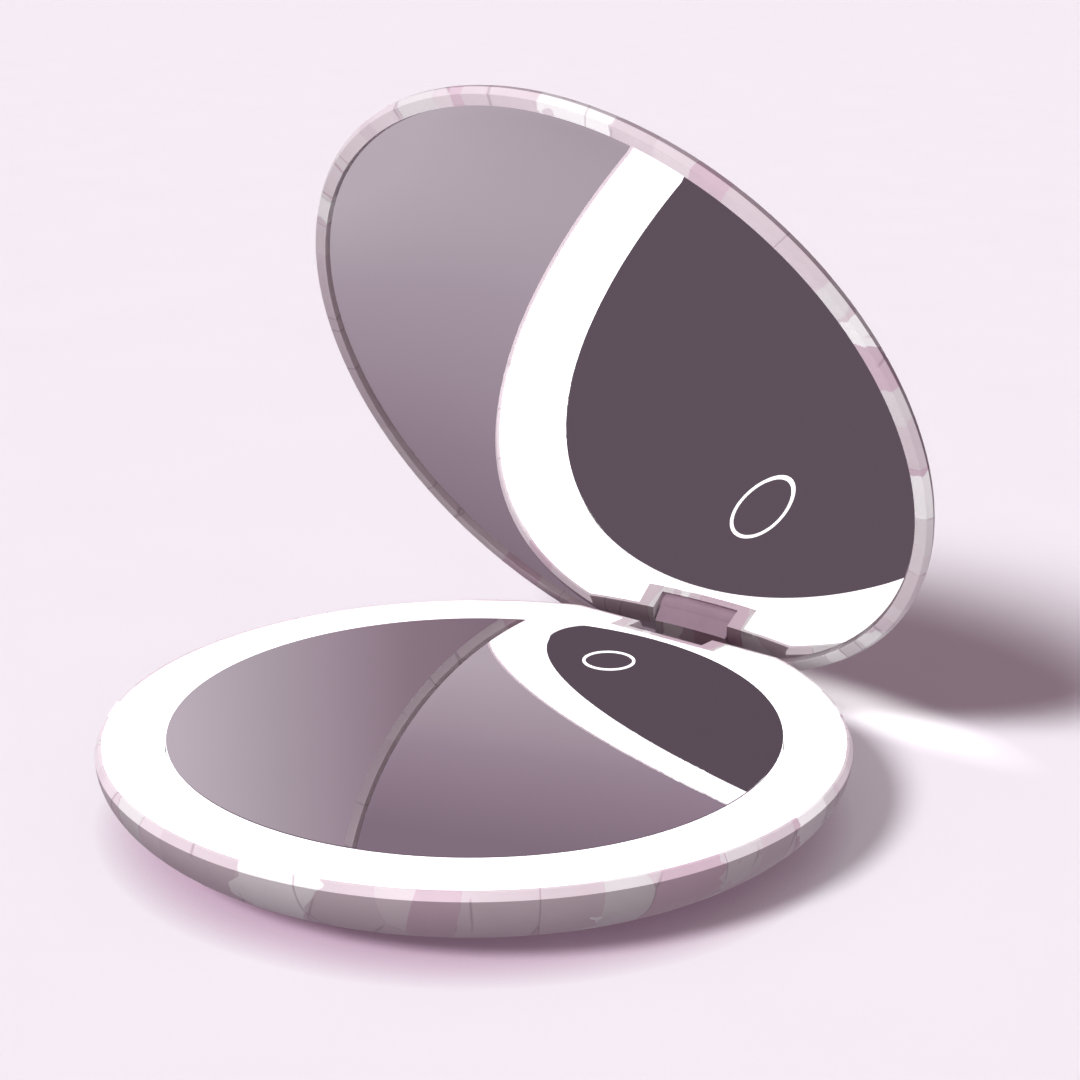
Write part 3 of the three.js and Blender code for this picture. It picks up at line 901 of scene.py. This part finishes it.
# ---- Finishes of the CAD pieces inside ----------------------------------------------------
ADHESIVE = plain("adhesive", (222, 218, 208), (236, 232, 224), 0.8, 900)
BOARD = circuit_board()
RED_WIRE = plain("red_wire", (160, 30, 34), (186, 44, 48), 0.45, 1500)
BLACK_WIRE = plain("black_wire", (26, 26, 30), (40, 40, 45), 0.45, 1500)
LED = plain("led_package", (250, 232, 170), (255, 244, 205), 0.35, 1500, glow=2.0)
INSIDE = {
    "mirror_tray": WHITE_PLASTIC,
    "led_board": plain("white_board", (232, 233, 235), (244, 245, 246), 0.4),
    "battery": plain("battery_foil", (176, 179, 184), (206, 209, 214), 0.3, 260, 0.85, 0.5),
    "mirror_tape": ADHESIVE,
    "lid_mirror_tape": ADHESIVE,
    "battery_pad": ADHESIVE,
    "main_board": BOARD,
    "charge_board": BOARD,
    "battery_lead_red": RED_WIRE,
    "board_lead": RED_WIRE,
    "battery_lead_black": BLACK_WIRE,
    "led_lead": BLACK_WIRE,
    "hinge_pin": STEEL,
    "touch_spring": STEEL,
    "power_coil": BLACK_PLASTIC,
}


def finish_for(name):
    """A piece's finish by its name, or None for a piece that is drawn anew here."""
    if name in INSIDE:
        return INSIDE[name]
    if "screw" in name:
        return STEEL
    if "chip" in name:
        return BLACK_PLASTIC
    return LED if name.startswith("led_") else None


for name, node in frame["nodes"].items():
    finish = finish_for(name)
    if finish and not node.hide_render:
        node.data.materials.clear()
        node.data.materials.append(finish)


# ---- Stage --------------------------------------------------------------------------------
FLOOR_COLOUR = srgb(246, 236, 245)
FLOOR_R = 6
FLOOR_DROP = 0.00003
CONTACT_REACH = 0.0055
KEY_TRAVEL = (0.09, 1.27, -1.0)
KEY_COLOUR = (0.93, 1.0, 0.971)


def floor_paper(n, here, rays):
    """Matt paper with a painted plum contact shadow close to the object, where little light gets
    in.
    """
    grain = n.noise(here, 30, detail=2)
    paper = n.ramp(grain, [(0.3, srgb(245, 235, 244)), (0.7, FLOOR_COLOUR)])
    # Painted contact shadow: the paper turns plum where ambient occlusion finds the object close
    # by.
    contact = n.add("ShaderNodeAmbientOcclusion", samples=4)
    contact.inputs["Distance"].default_value = CONTACT_REACH
    shown = n.blend(contact.outputs["AO"], srgb(200, 158, 187), paper)
    # It lights the object from below less than it shows to the camera.
    shown = n.blend(rays["Is Diffuse Ray"], shown, srgb(112, 98, 106))
    diffuse = n.add("ShaderNodeBsdfDiffuse")
    n.join(shown, diffuse.inputs["Color"])
    return diffuse.outputs[0]


def painted_light_patch(n, here):
    """A painted pool of light: a soft glowing oval on the floor beside the hinge."""
    oval = n.add("ShaderNodeMapping", vector_type="TEXTURE")
    n.join(here, oval.inputs["Vector"])
    oval.inputs["Location"].default_value = (0.021, 0.0555, 0)
    oval.inputs["Rotation"].default_value = (0, 0, math.radians(-9))
    oval.inputs["Scale"].default_value = (0.031, 0.0085, 1)
    reach = n.vector("LENGTH", oval.outputs[0])
    return n.emission(WHITE, n.spread(reach, 0.0, 1.0, 0.6, 0.0, smoothed=True))


def mirrored_floor(n, here):
    """Painted reflection: the tones the mirrors show in place of the floor, lightest in a band
    left of the object.
    """
    spot = n.axes(here)
    across = n.math("SUBTRACT", spot["Y"], n.math("MULTIPLY", spot["X"], 0.42))
    tones = [
        (0.03, srgb(141, 121, 137)),
        (0.115, srgb(155, 134, 150)),
        (0.19, srgb(166, 146, 162)),
        (0.25, srgb(177, 160, 172)),
        (0.42, srgb(196, 181, 192)),
        (0.715, srgb(191, 178, 189)),
        (0.735, srgb(180, 167, 177)),
        (0.752, srgb(173, 157, 171)),
        (0.79, srgb(164, 147, 160)),
        (0.854, srgb(152, 133, 148)),
        (0.947, srgb(135, 117, 131)),
    ]
    return n.emission(n.ramp(n.spread(across, -0.05, 0.05), tones))


def add_floor():
    bm = bmesh.new()
    bmesh.ops.create_circle(bm, cap_ends=True, radius=FLOOR_R, segments=96)
    floor = object_from("floor", bm)
    floor.data.transform(Matrix.Translation((0, 0, -FLOOR_DROP)))
    material = bpy.data.materials.new("floor")
    n = Tree(material)
    here = n.place()
    rays = n.add("ShaderNodeLightPath").outputs
    lit = n.add("ShaderNodeAddShader")
    n.join(floor_paper(n, here, rays), lit.inputs[0])
    n.join(painted_light_patch(n, here), lit.inputs[1])
    # The mirrors see the painted reflection tones in place of the lit paper.
    shown = n.choose(rays["Is Glossy Ray"], lit.outputs[0], mirrored_floor(n, here))
    output = n.add("ShaderNodeOutputMaterial")
    n.join(shown, output.inputs["Surface"])
    floor.data.materials.append(material)
    return floor


def mirrored_room(n):
    """What the mirrors show above the floor: a dark room with a paler side to the left."""
    direction = n.axes(n.add("ShaderNodeTexCoord").outputs["Generated"])
    bearing = n.math("ARCTAN2", direction["X"], direction["Y"])
    tones = [
        (0.0, srgb(200, 188, 198)),
        (0.18, srgb(195, 182, 193)),
        (0.35, srgb(177, 164, 174)),
        (0.52, srgb(162, 143, 157)),
        (0.67, srgb(143, 122, 135)),
        (0.85, srgb(135, 113, 128)),
    ]
    side = n.ramp(n.spread(bearing, math.radians(-52), math.radians(-38)), tones)
    above = n.spread(direction["Z"], 0.2, 0.76)
    dark = n.blend(above, (0.219, 0.156, 0.205, 1), (0.175, 0.125, 0.164, 1))
    low = n.spread(direction["Z"], 0.5, 0.62, 1.0, 0.0)
    from_left = n.spread(bearing, -1.6, -1.2)
    to_right = n.spread(bearing, 0.2, 0.6, 1.0, 0.0)
    in_front = n.math("MULTIPLY", from_left, to_right)
    return n.blend(in_front, dark, n.blend(low, dark, side))


def add_world():
    """Plum light on the object, the tones above in its mirrors, paper behind it."""
    world = bpy.data.worlds.new("world")
    bpy.context.scene.world = world
    n = Tree(world)
    rays = n.add("ShaderNodeLightPath").outputs
    ambient = n.background((0.25, 0.194, 0.217, 1))
    unseen = n.choose(rays["Is Glossy Ray"], ambient, n.background(mirrored_room(n)))
    shown = n.choose(rays["Is Camera Ray"], unseen, n.background(FLOOR_COLOUR))
    output = n.add("ShaderNodeOutputWorld")
    n.join(shown, output.inputs["Surface"])


def linked(name, objects):
    group = bpy.data.collections.new(name)
    for obj in objects:
        group.objects.link(obj)
    return group


def add_sun(name, travel, energy, colour, angle, receivers):
    """A light the mirrors do not show, that falls only on its receivers."""
    data = bpy.data.lights.new(name, "SUN")
    data.energy = energy
    data.color = colour
    data.angle = math.radians(angle)
    data.cycles.use_multiple_importance_sampling = False
    sun = bpy.data.objects.new(name, data)
    sun.rotation_euler = Vector(travel).to_track_quat("-Z", "Y").to_euler()
    bpy.context.collection.objects.link(sun)
    sun.light_linking.receiver_collection = linked(name + "_receivers", receivers)
    return sun


floor = add_floor()
add_world()
add_sun("key", KEY_TRAVEL, 3.1, KEY_COLOUR, 15, [floor])
# A quarter of the key light is stopped by the lid alone, so the base's shadow stays pale.
past_base = add_sun("key_past_base", KEY_TRAVEL, 1.02, KEY_COLOUR, 9, [floor])
past_base.light_linking.blocker_collection = linked("key_blockers", lid_pieces)
solids = [o for o in bpy.context.scene.objects if o.type == "MESH" and o is not floor]
add_sun("top", (0.5, 0.15, -1.0), 1.5, (1.0, 0.97, 0.99), 60, solids)
add_sun("low", (-0.45, 0.85, -0.32), 1.02, (1.0, 0.98, 0.985), 30, [base_skin])
